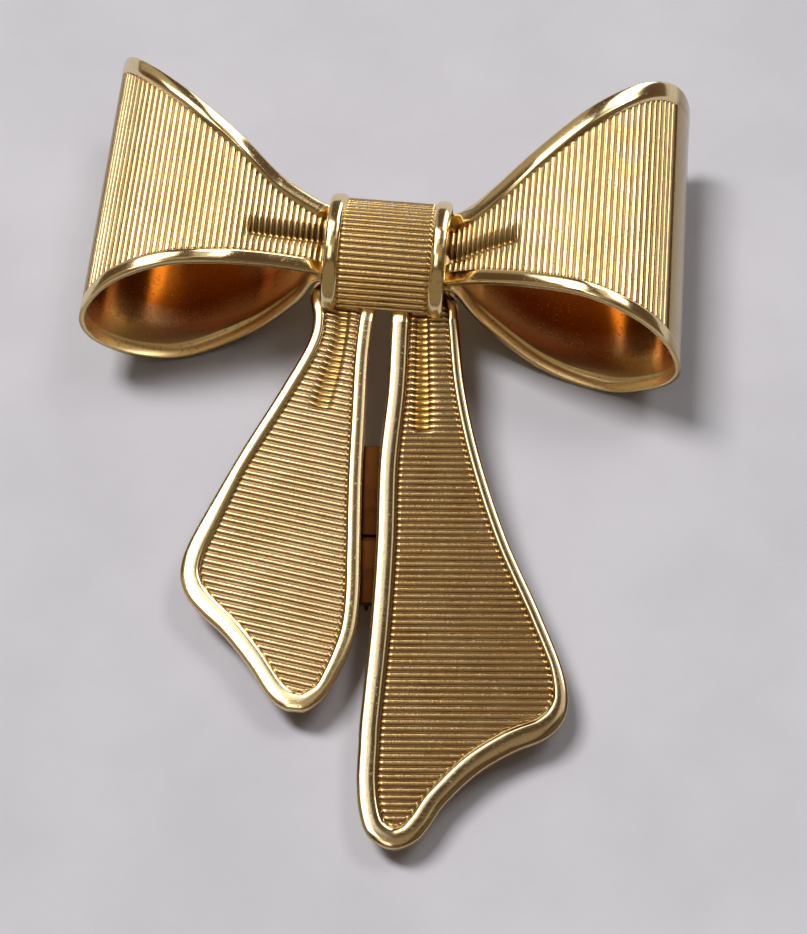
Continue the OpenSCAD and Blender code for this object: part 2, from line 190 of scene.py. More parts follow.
# Columns between the feet of two rims: share of the way and depth of the pleat. Where the field
# is narrow, the pleat and the columns beside the rims draw together.
def fieldColumns(mid, span, pleat):
    widest, most = 0.3, 0.85
    half = min(pleat["width"] / 2 / span, widest, most * mid, most * (1 - mid))
    near = fineRibs["edgeColumns"]
    left = (mid - half) * span
    right = (1 - mid - half) * span
    a = [e * min(1, most * left / near[-1]) for e in near]
    b = [e * min(1, most * right / near[-1]) for e in near]
    places = [(0, 0)] + [(e / span, 0) for e in a] + [((a[-1] + left) / 2 / span, 0)]
    places += [(mid + x * half, d) for x, d in pleat["shape"]]
    places += [(1 - (b[-1] + right) / 2 / span, 0)] + [(1 - e / span, 0) for e in reversed(b)] + [(1, 0)]
    return places


fieldCount = 2 * len(fineRibs["edgeColumns"]) + 2 + len(loopPleat["shape"])
columnCount = 2 * (foot + 1) + fieldCount
# the plain back needs only some of the front's columns
edgeCount = len(fineRibs["edgeColumns"])
backColumns = (list(range(foot + 1)) + [foot + 1 + edgeCount]
               + [foot + 2 + edgeCount + i for i in range(0, len(loopPleat["shape"]), 2)])
backColumns += [columnCount - 1 - i for i in [foot + 1 + edgeCount] + list(range(foot, -1, -1))]


# A closed sheet from rows of front and back points. Each front point is place, distance along
# the row of ribs, distance in from the rim, outward direction and tone. The tone sets painted light:
# the front's grows with the depth of its pleat and toward the fold, for painted shade and a painted
# reflection, and the back's grows toward the open edge, where the painted shade inside gives way to paler
# gilt.
def closedSheet(name, node, front, back, flipped=False, tipJoined=False):
    points = [(p, run * mm, inset * mm, outward, tone, 1.0)
              for row in front for p, run, inset, outward, tone in row]
    points += [(p, 0.0, -mm, Vector(), tone, 0.0) for row in back for p, tone in row]
    frontN, backN = len(front[0]), len(back[0])
    lastRow, lastFront, lastBack = len(front) - 1, frontN - 1, backN - 1

    # the last row of a tail is folded onto itself at the tip
    def frontAt(i, j):
        if tipJoined and i == lastRow:
            j = min(j, lastFront - j, foot)
        return i * frontN + j

    def backAt(i, j):
        if tipJoined and i == lastRow:
            j = min(j, lastBack - j, foot)
        return len(front) * frontN + i * backN + j

    faces = []

    def addFace(corners):
        kept = [c for k, c in enumerate(corners) if c != corners[k - 1]]
        if len(set(kept)) > 2:
            faces.append(kept[::-1] if flipped else kept)

    for i in range(lastRow):
        for j in range(lastFront):
            addFace([frontAt(i, j), frontAt(i + 1, j), frontAt(i + 1, j + 1), frontAt(i, j + 1)])
        for j in range(lastBack):
            addFace([backAt(i, j), backAt(i, j + 1), backAt(i + 1, j + 1), backAt(i + 1, j)])
        addFace([frontAt(i, 0), backAt(i, 0), backAt(i + 1, 0), frontAt(i + 1, 0)])
        addFace([frontAt(i, lastFront), frontAt(i + 1, lastFront),
                 backAt(i + 1, lastBack), backAt(i, lastBack)])
    addFace([frontAt(0, j) for j in range(frontN)] + [backAt(0, j) for j in reversed(range(backN))])
    if not tipJoined:
        addFace([frontAt(lastRow, j) for j in reversed(range(frontN))]
                + [backAt(lastRow, j) for j in range(backN)])
    return meshPiece(name, node, points, faces)


def newObject(name, data):
    made = bpy.data.objects.new(name, data)
    bpy.context.scene.collection.objects.link(made)
    return made


# A new piece from its points, drawn in by a few hundredths of a mm where it passes the solid's box.
# A point is place, distance along the row of ribs, distance in from the rim, outward direction,
# tone of painted light and shade, and 1 at the front.
def meshPiece(name, node, points, faces):
    places, run, inset, outward, tone, side = zip(*points)
    low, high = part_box(node)
    for k in range(3):
        a = min(p[k] for p in places)
        b = max(p[k] for p in places)
        toA, toB = max(a, low[k]), min(b, high[k])
        for p in places:
            p[k] = toA + (p[k] - a) * (toB - toA) / (b - a)
    mesh = bpy.data.meshes.new(name)
    mesh.from_pydata(places, [], faces)
    for label, values in (("ribRun", run), ("ribInset", inset), ("tone", tone), ("frontSide", side)):
        mesh.attributes.new(label, "FLOAT", "POINT").data.foreach_set("value", values)
    flat = [c for v in outward for c in v]
    mesh.attributes.new("outward", "FLOAT_VECTOR", "POINT").data.foreach_set("vector", flat)
    mesh.validate()
    mesh.update()
    return newObject(name, mesh)


# short ways to add a node and wire it up
class Wires:
    def __init__(self, tree):
        self.nodes, self.links = tree.nodes, tree.links

    def put(self, socket, value):
        if isinstance(value, bpy.types.NodeSocket):
            self.links.new(value, socket)
        elif socket.type == "RGBA":
            socket.default_value = tuple(value)[:3] + (1,)
        else:
            socket.default_value = value

    def math(self, operation, a, b=0.0, clamp=False):
        node = self.nodes.new("ShaderNodeMath")
        node.operation = operation
        node.use_clamp = clamp
        self.put(node.inputs[0], a)
        self.put(node.inputs[1], b)
        return node.outputs[0]

    def times(self, result, *factors):
        for factor in factors:
            result = self.math("MULTIPLY", result, factor)
        return result

    def plus(self, result, *parts):
        for part in parts:
            result = self.math("ADD", result, part)
        return result

    def less(self, a, b):
        return self.math("SUBTRACT", a, b)

    def noise(self, where, scale, detail=3.0, rough=0.55, distort=0.0):
        node = self.nodes.new("ShaderNodeTexNoise")
        self.put(node.inputs["Vector"], where)
        self.put(node.inputs["Scale"], scale)
        node.inputs["Detail"].default_value = detail
        node.inputs["Roughness"].default_value = rough
        node.inputs["Distortion"].default_value = distort
        return node.outputs["Fac"]

    def span(self, value, a, b, toA=0.0, toB=1.0, kind="SMOOTHSTEP"):
        node = self.nodes.new("ShaderNodeMapRange")
        node.interpolation_type = kind
        ends = {"Value": value, "From Min": a, "From Max": b, "To Min": toA, "To Max": toB}
        for label, v in ends.items():
            self.put(node.inputs[label], v)
        return node.outputs[0]

    def blend(self, factor, a, b):
        node = self.nodes.new("ShaderNodeMix")
        node.data_type = "RGBA"
        self.put(node.inputs[0], factor)
        self.put(node.inputs[6], a)
        self.put(node.inputs[7], b)
        return node.outputs[2]

    def attribute(self, label):
        node = self.nodes.new("ShaderNodeAttribute")
        node.attribute_name = label
        return node.outputs["Fac"]

    def objectPlace(self):
        return self.nodes.new("ShaderNodeTexCoord").outputs["Object"]

    def mapped(self, where, scale, turn=(0, 0, 0)):
        node = self.nodes.new("ShaderNodeMapping")
        self.put(node.inputs["Vector"], where)
        node.inputs["Scale"].default_value = scale
        node.inputs["Rotation"].default_value = turn
        return node.outputs[0]

    def bump(self, height, strength, deep):
        node = self.nodes.new("ShaderNodeBump")
        node.inputs["Strength"].default_value = strength
        node.inputs["Distance"].default_value = deep * mm
        self.put(node.inputs["Height"], height)
        return node.outputs[0]

    def placed(self, group, **values):
        node = self.nodes.new("ShaderNodeGroup")
        node.node_tree = group
        for label, value in values.items():
            self.put(node.inputs[label], value)
        return node


# the named inputs of the ribs
ribValues = {
    "Pitch": fineRibs["pitch"] * mm, "Depth": fineRibs["depth"] * mm, "Flank": fineRibs["flank"] * mm,
    "End Gap": fineRibs["endGap"] * mm, "Field Edge": fineRibs["fieldEdge"] * mm,
    "Crest Share": 0.6, "Crown": 0.2, "Rib Start": 0.0,      # each strip has its own
}


# ribs are pressed into the front of a sheet, between its rims
def pressRibsTree():
    tree = bpy.data.node_groups.new("pressRibs", "GeometryNodeTree")
    sockets = tree.interface
    sockets.new_socket("Sheet", in_out="INPUT", socket_type="NodeSocketGeometry")
    for label, value in ribValues.items():
        socket = sockets.new_socket(label, in_out="INPUT", socket_type="NodeSocketFloat")
        socket.default_value = value
    sockets.new_socket("Metal", in_out="INPUT", socket_type="NodeSocketMaterial")
    sockets.new_socket("Sheet", in_out="OUTPUT", socket_type="NodeSocketGeometry")
    w = Wires(tree)
    given = w.nodes.new("NodeGroupInput").outputs
    end = w.nodes.new("NodeGroupOutput")

    def stored(label, kind="FLOAT"):
        node = w.nodes.new("GeometryNodeInputNamedAttribute")
        node.data_type = kind
        node.inputs["Name"].default_value = label
        return node.outputs["Attribute"]

    pitch, inset = given["Pitch"], stored("ribInset")
    turns = w.math("DIVIDE", w.less(stored("ribRun"), given["Rib Start"]), pitch)
    beside = w.times(w.math("ABSOLUTE", w.less(w.math("FRACT", turns), 0.5)), pitch)
    crestHalf = w.times(pitch, given["Crest Share"], 0.5)
    past = w.math("MAXIMUM", w.less(w.plus(given["End Gap"], crestHalf), inset), 0.0)
    away = w.math("SQRT", w.plus(w.times(beside, beside), w.times(past, past)))
    down = w.span(away, w.less(crestHalf, given["Flank"]), w.plus(crestHalf, given["Flank"]))
    bow = w.math("DIVIDE", away, crestHalf)
    mostCrown = 0.9
    crown = w.math("MINIMUM", w.times(bow, bow, given["Crown"]), mostCrown)
    height = w.times(w.less(1.0, crown), w.less(1.0, down))
    inField = w.span(inset, 0.0, given["Field Edge"])
    groove = w.times(w.less(1.0, height), inField)

    move = w.nodes.new("ShaderNodeVectorMath")
    move.operation = "SCALE"
    w.put(move.inputs[0], stored("outward", "FLOAT_VECTOR"))
    w.put(move.inputs["Scale"], w.times(groove, given["Depth"], -1.0))
    setPlace = w.nodes.new("GeometryNodeSetPosition")
    w.put(setPlace.inputs["Geometry"], given["Sheet"])
    w.put(setPlace.inputs["Offset"], move.outputs[0])
    kept = setPlace.outputs["Geometry"]
    for label, value in (("groove", groove), ("ribbed", inField)):
        node = w.nodes.new("GeometryNodeStoreNamedAttribute")
        node.data_type = "FLOAT"
        node.domain = "POINT"
        node.inputs["Name"].default_value = label
        w.put(node.inputs["Geometry"], kept)
        w.put(node.inputs["Value"], value)
        kept = node.outputs["Geometry"]
    real = w.nodes.new("GeometryNodeRealizeInstances")
    w.put(real.inputs["Geometry"], kept)
    metal = w.nodes.new("GeometryNodeSetMaterial")
    w.put(metal.inputs["Geometry"], real.outputs["Geometry"])
    w.put(metal.inputs["Material"], given["Metal"])
    w.put(end.inputs["Sheet"], metal.outputs["Geometry"])
    return tree


pressRibs = pressRibsTree()


def smoothPiece(piece):
    for face in piece.data.polygons:
        face.use_smooth = True
    print(piece.name, "has", sum(len(f.vertices) - 2 for f in piece.data.polygons), "triangles")


# a piece with its ribs pressed in, which takes the place of the solid in that node
def ribbedPiece(piece, node, metal, v):
    modifier = piece.modifiers.new("ribs", "NODES")
    modifier.node_group = pressRibs
    values = dict(ribValues)
    values.update({"Crest Share": v["crest"], "Crown": v["crown"], "Rib Start": v["ribStart"] * mm,
                   "Metal": metal})
    for item in pressRibs.interface.items_tree:
        if item.in_out == "INPUT" and item.name in values:
            modifier[item.identifier] = values[item.name]
    seen = piece.evaluated_get(bpy.context.evaluated_depsgraph_get())
    made = bpy.data.meshes.new_from_object(seen)
    piece.modifiers.remove(modifier)
    piece.data = made
    smoothPiece(piece)
    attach(piece, "root")
    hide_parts(node)
    return piece


leftLoop = {
    "node": "loop_left", "sign": -1,
    "reach": 27.9, "rise": 9.1, "top": 19.0, "bottom": 10.5, "slant": 0.9, "topRim": 1.55, "plainFold": 0.95,
    "pleat": 7.6, "pleatLine": (0.6, -0.31), "ribStart": 0.0, "crest": 0.68, "crown": 0.35,
    # out from the knot, lift, top edge, bottom edge, all as shares
    "rows": [
        (0.06, 0.47, 0.21, 0.39), (0.22, 0.67, 0.272, 0.48), (0.41, 0.92, 0.425, 0.635),
        (0.63, 1.0, 0.62, 0.75), (0.83, 0.89, 0.82, 0.88), (0.95, 0.65, 0.96, 0.98),
        (1.0, 0.3, 1.0, 1.0), (0.96, -0.2, 0.94, 0.95), (0.81, -0.8, 0.78, 0.87),
        (0.6, -1.0, 0.57, 0.77), (0.33, -0.76, 0.36, 0.54), (0.13, -0.08, 0.25, 0.41),
        (0.05, 0.26, 0.21, 0.375)],
}

rightLoop = {
    "node": "loop_right", "sign": 1,
    "reach": 27.3, "rise": 9.8, "top": 19.6, "bottom": 10.2, "slant": 0.0, "topRim": 1.9, "plainFold": 0.85,
    "pleat": 6.8, "pleatLine": (-0.6, 0.0), "ribStart": 0.0, "crest": 0.68, "crown": 0.35,
    "rows": [
        (0.06, 0.44, 0.21, 0.405), (0.17, 0.63, 0.27, 0.5), (0.35, 0.86, 0.445, 0.65),
        (0.57, 1.0, 0.67, 0.79), (0.77, 0.93, 0.86, 0.91), (0.91, 0.71, 0.96, 0.98),
        (0.99, 0.37, 1.0, 1.0), (1.0, 0.02, 0.98, 0.95), (0.92, -0.55, 0.9, 0.885),
        (0.72, -0.98, 0.72, 0.81), (0.44, -0.88, 0.48, 0.65), (0.17, -0.22, 0.28, 0.435),
        (0.05, 0.26, 0.21, 0.385)],
}

# A loop's ribs end at its plain fold, where painted shade darkens the gilt, and the gilt inside
# it is painted dark with shade, paler near the open edge.
loopShade = {
    "upperHalf": -0.1,   # how far down the fold its upper half reaches, as its direction's height
    "ribEnd": 1.5,       # mm
    "foldTone": 0.6, "foldWidth": 0.08,
    "paleTone": 0.6, "paleFrom": 0.3, "paleTo": 4.2,
}


# A loop is one strip that runs out from the knot, folds and comes back to it
def makeLoop(v, metal):
    edge = knot["length"] / 2
    pinched = [edge - knot["rim"], edge]
    path = [[x, frontLayer, pinchedHalf, pinchedHalf] for x in [knot["seam"] / 2] + pinched]
    path += [[edge + out * (v["reach"] - edge), lift * (v["rise"] if lift > 0 else floorDrop),
              top * v["top"], bottom * v["bottom"]] for out, lift, top, bottom in v["rows"]]
    path += [[x, backLayer, pinchedHalf, pinchedHalf] for x in pinched[::-1] + [knot["seam"] / 2]]
    last = len(path) - 1

    # length of the strip up to each place along it
    table = [(0.0, 0.0)]
    steps = 60
    before = smoothRow(path, 0)
    for i in range(1, last * steps + 1):
        here = smoothRow(path, i / steps)
        table.append((table[-1][0] + hypot(here[0] - before[0], here[1] - before[1]), i / steps))
        before = here

    front, back = [], []
    for run in ribRows(0, table[-1][0], v["ribStart"]):
        u = readTable(table, run)
        s = smoothRow(path, u)
        d = runOf(path, u)
        nx, nz = sideOf(path, u)
        along = hypot(d[0], d[1])
        out = s[0] - edge
        pleat = pleatAt(out, v["pleat"], loopPleat) if u < last / 2 else 0
        pleatY = v["pleatLine"][0] + v["pleatLine"][1] * min(max(out, 0), v["pleat"])
        low, high = -s[3], s[2]
        lowRim = goldSheet["bottomRim"] * sqrt(1 + (d[3] / along) ** 2)
        highRim = v["topRim"] * sqrt(1 + (d[2] / along) ** 2)
        start = low + lowRim
        span = high - highRim - start
        columns = [(low + x * lowRim, h, 0, -(1 - x) * lowRim) for x, h in rimColumns]
        columns += [(start + x * span, 0, deep, min(x, 1 - x) * span)
                    for x, deep in fieldColumns((pleatY - start) / span, span, loopPleat)[1:-1]]
        columns += [(high - x * highRim, h, 0, -(1 - x) * highRim) for x, h in reversed(rimColumns)]
        share = max(out, 0) / (v["reach"] - edge)
        outward = Vector((v["sign"] * nx, 0, nz))
        frontRow, middleRow = [], []
        for y, rise, deep, inset in columns:
            setBack = v["slant"] * share * (s[2] - y) / (s[2] + s[3])
            flat = knotAt + Vector((v["sign"] * (s[0] - setBack), y, s[1] - deep * pleat)) * mm
            level = 1 - nx * nx                          # the rims are flush at the fold
            relief = rise * rimHeight * level + thickness / 2
            within = insideRise.get(rise, 0) * rimHeight * level - thickness / 2
            # painted shade inside the loop: none on the rims' insides, more the deeper in from the open edge
            pale = loopShade["paleTone"] * fade(inset, loopShade["paleFrom"], loopShade["paleTo"])
            middleRow.append((flat + outward * within * mm, 1 if inset < 0 else pale))
            if nz > loopShade["upperHalf"]:
                inset = min(inset, loopShade["ribEnd"] * (v["plainFold"] - abs(nx)))
            # painted shade toward the fold, and painted shade and a painted reflection in the pleat
            folded = 1 - fade(abs(nx), v["plainFold"] - loopShade["foldWidth"], v["plainFold"])
            tone = max(deep * pleat / loopPleat["depth"], loopShade["foldTone"] * folded)
            frontRow.append((flat + outward * relief * mm, run, inset, outward, tone))
        front.append(frontRow)
        back.append([middleRow[j] for j in backColumns])
    piece = closedSheet(v["node"] + "_ribbed", v["node"], front, back, flipped=v["sign"] < 0)
    return ribbedPiece(piece, v["node"], metal, v)


tailFall = {"drop": 4.3, "over": 55.3, "bend": 1.6}      # both tails lie on one curved slope
tailTip = {"bare": 0.09, "rows": 14, "step": 6}          # rows that follow the rim round the tip

longTail = {
    "node": "tail_long",
    "length": 55.3, "width": 17.4, "lean": 8.5, "across": 3.2,
    "ribTurn": -3.3,     # how far the ribs are off square to the tail, degrees
    "leftRim": [(0, 1.85), (1, 1.85)],
    "rightRim": [(0, 1.1), (0.72, 1.1), (0.78, 1.4), (0.85, 2.1), (0.92, 1.8), (1, 1.85)],
    "pleat": 11.2, "pleatLine": 0.32, "ribStart": 0.0, "crest": 0.76, "crown": 0.6,
    # left edge along and aside, right edge along and aside, as shares of the tail's size
    "rows": [
        (0.03, -0.1, 0.03, 0.1), (0.085, -0.17, 0.085, 0.17), (0.135, -0.19, 0.135, 0.175),
        (0.245, -0.225, 0.245, 0.185), (0.37, -0.285, 0.37, 0.24), (0.51, -0.32, 0.51, 0.345),
        (0.64, -0.365, 0.64, 0.485), (0.75, -0.415, 0.74, 0.575), (0.805, -0.44, 0.8, 0.57),
        (0.84, -0.45, 0.838, 0.47), (0.87, -0.46, 0.86, 0.29), (0.9, -0.465, 0.89, 0.115),
        (0.937, -0.46, 0.935, -0.05), (0.97, -0.435, 0.972, -0.14)],
    "tip": [(0.99, -0.38), (1, -0.3), (0.992, -0.21)],
}

shortTail = {
    "node": "tail_short",
    "length": 43.8, "width": 16.6, "lean": -11.5, "across": -2.4,
    "ribTurn": 3.3,
    "leftRim": [(0, 1.15), (0.54, 1.2), (0.68, 1.65), (0.82, 1.9), (0.95, 1.7), (1, 1.8)],
    "rightRim": [(0, 1.45), (0.85, 1.45), (0.95, 1.25), (1, 1.8)],
    "pleat": 9.8, "pleatLine": 0.52, "ribStart": 0.0, "crest": 0.66, "crown": 0.65,
    "rows": [
        (0.035, -0.13, 0.035, 0.1), (0.115, -0.2, 0.105, 0.17), (0.18, -0.135, 0.17, 0.2),
        (0.24, -0.12, 0.25, 0.245), (0.355, -0.175, 0.365, 0.325), (0.51, -0.265, 0.5, 0.42),
        (0.65, -0.33, 0.64, 0.53), (0.735, -0.36, 0.73, 0.6), (0.79, -0.345, 0.79, 0.635),
        (0.83, -0.28, 0.83, 0.645), (0.86, -0.165, 0.87, 0.64), (0.89, -0.01, 0.91, 0.625),
        (0.937, 0.17, 0.945, 0.605), (0.977, 0.295, 0.977, 0.562)],
    "tip": [(0.995, 0.375), (1, 0.445), (0.994, 0.515)],
}


# A tail is a strip whose rows lie square to its middle line, down to the round tip
def makeTail(v, metal):
    length, width = v["length"], v["width"]
    square = Matrix.Rotation(radians(-v["ribTurn"]), 2)
    upright = square.inverted()
    edges = [(r[1], r[0]) for r in v["rows"]] + [(p[1], p[0]) for p in v["tip"]]
    edges += [(r[3], r[2]) for r in reversed(v["rows"])]
    outline = [tuple(square @ Vector((aside * width, -down * length))) for aside, down in edges]
    last = len(outline) - 1
    side = len(v["rows"]) - 1

    def rimAt(u):
        p = smoothRow(outline, u)
        s = sideOf(outline, u)
        blend = fade(u, side - 1, last - side + 1)
        share = -(upright @ Vector(p))[1] / length
        return p, s, readTable(v["leftRim"], share) * blend + readTable(v["rightRim"], share) * (1 - blend)

    def footAt(u):
        p, s, w = rimAt(u)
        return p[0] + s[0] * w, p[1] + s[1] * w

    steps = 80
    feet = [(footAt(i / steps), i / steps) for i in range(last * steps + 1)]
    lowest = min(range(len(feet)), key=lambda i: feet[i][0][1])

    least = 1e-4  # mm

    # place round the outline for each distance along the tail, on one side of the tip
    def branch(items):
        table = []
        for (x, y), u in items:
            if not table or -y > table[-1][0] + least:
                table.append((-y, u))
        return table

    leftTable = branch(feet[:lowest + 1])
    rightTable = branch(reversed(feet[lowest:]))
    top = max(leftTable[0][0], rightTable[0][0])
    tip = -feet[lowest][0][1]
    places = ribRows(top, tip, v["ribStart"])
    places = [s for s in places if s < tip - tailTip["bare"]]
    # more rows where the rim turns round the tip
    turning = [-feet[lowest + way * tailTip["step"] * k][0][1]
               for k in range(1, tailTip["rows"] + 1) for way in (-1, 1)]
    places += [s for s in turning if s < tip - least] + [tip]
    places.sort()

    turn = Matrix.Rotation(radians(v["lean"]), 3, "Z")
    shift = knotAt + Vector((v["across"], 0, 0)) * mm
    up = Vector((0, 0, 1))

    def place(x, y, relief):
        x, y = upright @ Vector((x, y))
        share = min(max((-y - knot["radius"]) / (tailFall["over"] - knot["radius"]), 0), 1)
        z = tailLayer - tailFall["drop"] * (1 - (1 - share) ** tailFall["bend"]) + relief
        return shift + turn @ Vector((x, y, 0)) * mm + up * z * mm

    front, back = [], []
    half = up * thickness / 2 * mm
    shallow = rimHeight / tailPleat["depth"]
    for along in places:
        atTip = along == tip
        uLeft = feet[lowest][1] if atTip else readTable(leftTable, along)
        uRight = feet[lowest][1] if atTip else readTable(rightTable, along)
        rims = []
        for u in (uLeft, uRight):
            p, s, w = rimAt(u)
            rims.append([(p[0] + s[0] * w * x, p[1] + s[1] * w * x, h, -(1 - x) * w) for x, h in rimColumns])
        a, b = rims[0][foot], rims[1][foot]
        span = max(hypot(b[0] - a[0], b[1] - a[1]), least)
        pleat = pleatAt(along - knot["radius"], v["pleat"], tailPleat)
        columns = list(rims[0])
        for x, deep in fieldColumns(v["pleatLine"], span, tailPleat)[1:-1]:
            inset = min(min(x, 1 - x) * span, tip - along)
            columns.append((a[0] + (b[0] - a[0]) * x, a[1] + (b[1] - a[1]) * x,
                            -deep * pleat / rimHeight, inset))
        columns += rims[1][::-1]
        frontRow, middleRow = [], []
        for x, y, rise, inset in columns:
            middle = place(x, y, rise * rimHeight)
            # the pleat's depth sets its painted shade and painted reflection
            frontRow.append((middle + half, -y if inset > 0 else along, inset, up, max(-rise * shallow, 0)))
            middleRow.append((middle - half, 0.0))
        front.append(frontRow)
        back.append([middleRow[j] for j in backColumns])
    piece = closedSheet(v["node"] + "_ribbed", v["node"], front, back, tipJoined=True)
    return ribbedPiece(piece, v["node"], metal, v)


# The knot is a tube with a round ribbed front, a bead round each end and a flat back
def makeKnot(metal):
    half = knot["length"] / 2
    low = knot["radius"] - rimHeight
    # across the knot: place along it, height of its rim and distance in from the rim
    columns = [(t * knot["rim"] - half, rise, -(1 - t) * knot["rim"]) for t, rise in knot["bead"]]
    middleHalf = half - knot["rim"]
    inner = fineRibs["edgeColumns"] + knot["moreColumns"]
    columns += [(-middleHalf + e, 0, e) for e in inner] + [(0, 0, middleHalf)]
    columns += [(middleHalf - e, 0, e) for e in reversed(inner)]
    columns += [(-x, rise, inset) for x, rise, inset in reversed(columns[:len(knot["bead"])])]

    ribEnd = acos(knot["back"] / low) * low - knot["bareEdge"]
    runs = ribRows(-ribEnd, ribEnd, knot["ribStart"])
    backSteps = knot["backSteps"]
    ring = len(runs) + 1 + backSteps
    points, faces = [], []

    def addPoint(x, y, z, run=0.0, inset=-1.0, outward=(0, 0, 0), front=0.0):
        place = knotAt + Vector((x, y, z)) * mm
        points.append((place, run * mm, inset * mm, Vector(outward), 0.0, front))

    # outer ring: from one edge of the flat back over the front to the other edge, then back
    for x, rise, fromRim in columns:
        r = low + rise * rimHeight
        most = acos(knot["back"] / r)
        for turn, inset in [(-most, -1.0)] + [(run / low, fromRim) for run in runs] + [(most, -1.0)]:
            addPoint(x, r * sin(turn), r * cos(turn), turn * low, inset, (0, sin(turn), cos(turn)), 1.0)
        for k in range(1, backSteps):
            addPoint(x, r * sin(most) * (1 - 2 * k / backSteps), knot["back"])
    # inner ring at the two ends
    r = low - thickness
    floorIn = knot["back"] + thickness
    most = acos(floorIn / r)
    for x in (-half, half):
        for i in range(len(runs) + 2):
            turn = most * (2 * i / (len(runs) + 1) - 1)
            addPoint(x, r * sin(turn), r * cos(turn))
        for k in range(1, backSteps):
            addPoint(x, r * sin(most) * (1 - 2 * k / backSteps), floorIn)
    count = len(columns)
    for j in range(count - 1):
        for i in range(ring):
            n = (i + 1) % ring
            faces.append([j * ring + i, (j + 1) * ring + i, (j + 1) * ring + n, j * ring + n])
    a, b = count * ring, (count + 1) * ring
    for i in range(ring):
        n = (i + 1) % ring
        faces.append([a + i, a + n, b + n, b + i])
        faces.append([i, n, a + n, a + i])
        faces.append([(count - 1) * ring + n, (count - 1) * ring + i, b + i, b + n])
    piece = meshPiece("knot_ribbed", "knot_band", points, faces)
    return ribbedPiece(piece, "knot_band", metal, knot)


# The bar across the gap between the tails, with the stem's knuckle and its catch
pinFinding = {
    "at": (1.0358, -26.4, -1.425), "turn": 3.65, "slope": 5.91,
    "length": 15.0, "width": 4.6, "thickness": 0.8, "groove": 9.1,
    "stem": 0.9, "clothGap": 0.75, "stemPast": 0.9, "softEdge": 0.09, "crease": 40,
    "grooveWidth": 0.6,                                  # in thicknesses of the bar
    "knuckleWidth": 0.7,                                 # in widths of the bar
    "hookLength": 2, "hookWall": 0.6, "point": 2.5,      # in widths of the stem
    "hookMouth": 50, "hookBack": 105, "hookLip": 350,    # degrees round the stem
    # shares of the point's length and of the stem's radius
    "taper": [(1, 1), (0.6, 0.84), (0.3, 0.6), (0.1, 0.38), (0.03, 0.25), (0, 0.1)],
}


# The finding is sawn bar and round wire, with softened edges
def makeFinding(v, metal):
    t, stem = v["thickness"], v["stem"]
    stemZ = -t - v["clothGap"] - stem / 2
    knuckleHalf = v["knuckleWidth"] * v["width"] / 2
    knuckleR = stem / 2 + v["clothGap"]
    knuckleY = v["length"] / 2 - knuckleR - t / 2
    hookLength = v["hookLength"] * stem
    hookIn = stem / 2 + seat
    hookR = hookIn + v["hookWall"] * stem
    hookY = hookLength - v["length"] / 2
    point = v["point"] * stem
    stemEnd = hookY - hookLength / 2 - v["stemPast"]
    mesh = bmesh.new()

    # a closed tube from rings of corners, with flat ends
    def tube(rings):
        corners = [[mesh.verts.new(p) for p in ring] for ring in rings]
        made = [mesh.faces.new(corners[0]), mesh.faces.new(corners[-1][::-1])]
        for a, b in zip(corners, corners[1:]):
            for i in range(len(a)):
                n = (i + 1) % len(a)
                made.append(mesh.faces.new([a[i], b[i], b[n], a[n]]))
        bmesh.ops.recalc_face_normals(mesh, faces=made)
        return made

    # a flat outline pushed through from one side to the other, with its sharp edges softened
    def slab(outline, toPoint, start, end, soft):
        made = tube([[toPoint(p, side) for p in outline] for side in (start, end)])
        sharp = 0.6  # radians
        edges = {e for f in made for e in f.edges if e.calc_face_angle(0) > sharp}
        bmesh.ops.bevel(mesh, geom=list(edges), offset=soft, offset_type="OFFSET", segments=3, profile=0.5,
                        affect="EDGES", clamp_overlap=True)

    def acrossX(p, x):
        return x, p[0], p[1]

    def acrossY(p, y):
        return p[0], y, p[1]

    # an arc round the stem's middle line, from one angle to the other
    def arc(r, start, end, steps, middle=0.0):
        turns = [radians(start + (end - start) * i / steps) for i in range(steps + 1)]
        return [(middle + r * cos(a), stemZ + r * sin(a)) for a in turns]

    top, end = v["length"] / 2, -v["length"] / 2
    grooveA = top - v["groove"]
    grooveB = grooveA + v["grooveWidth"] * t
    bar = [(end, -t), (top, -t), (top, 0), (grooveB, 0), (grooveB, -t / 2), (grooveA, -t / 2),
           (grooveA, 0), (end, 0)]
    slab(bar, acrossX, -v["width"] / 2, v["width"] / 2, v["softEdge"])
    knuckle = arc(knuckleR, 180, 360, 24, knuckleY)
    knuckle += [(knuckleY + knuckleR, -t / 2), (knuckleY - knuckleR, -t / 2)]
    slab(knuckle, acrossX, -knuckleHalf, knuckleHalf, v["softEdge"])
    # the catch is a hook, open to one side
    hook = [(-hookR, -t / 2), (-hookIn / 2, -t / 2)] + arc(hookR, v["hookBack"], v["hookMouth"], 8)
    hook += arc(hookIn, v["hookMouth"], v["hookLip"], 30) + arc(hookR, v["hookLip"], 180, 20)
    slab(hook, acrossY, hookY - hookLength / 2, hookY + hookLength / 2, v["softEdge"] / 2)
    # the stem is turned down to a point
    profile = [(knuckleY, 1)] + [(stemEnd + along * point, share) for along, share in v["taper"]]
    sides = 24
    turns = [2 * pi * i / sides for i in range(sides)]
    rings = [(y, share * stem / 2) for y, share in profile]
    tube([[(r * cos(a), y, stemZ + r * sin(a)) for a in turns] for y, r in rings])

    place = (Matrix.Translation(knotAt + Vector(v["at"]) * mm) @ Matrix.Rotation(radians(v["turn"]), 4, "Z")
             @ Matrix.Rotation(radians(v["slope"]), 4, "X") @ Matrix.Scale(mm, 4))
    mesh.transform(place)
    data = bpy.data.meshes.new("pin_finding_soft")
    mesh.to_mesh(data)
    mesh.free()
    piece = newObject("pin_finding_soft", data)
    smoothPiece(piece)
    data.set_sharp_from_angle(angle=radians(v["crease"]))
    data.materials.append(metal)
    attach(piece, "root")
    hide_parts("pin_finding")
    return piece


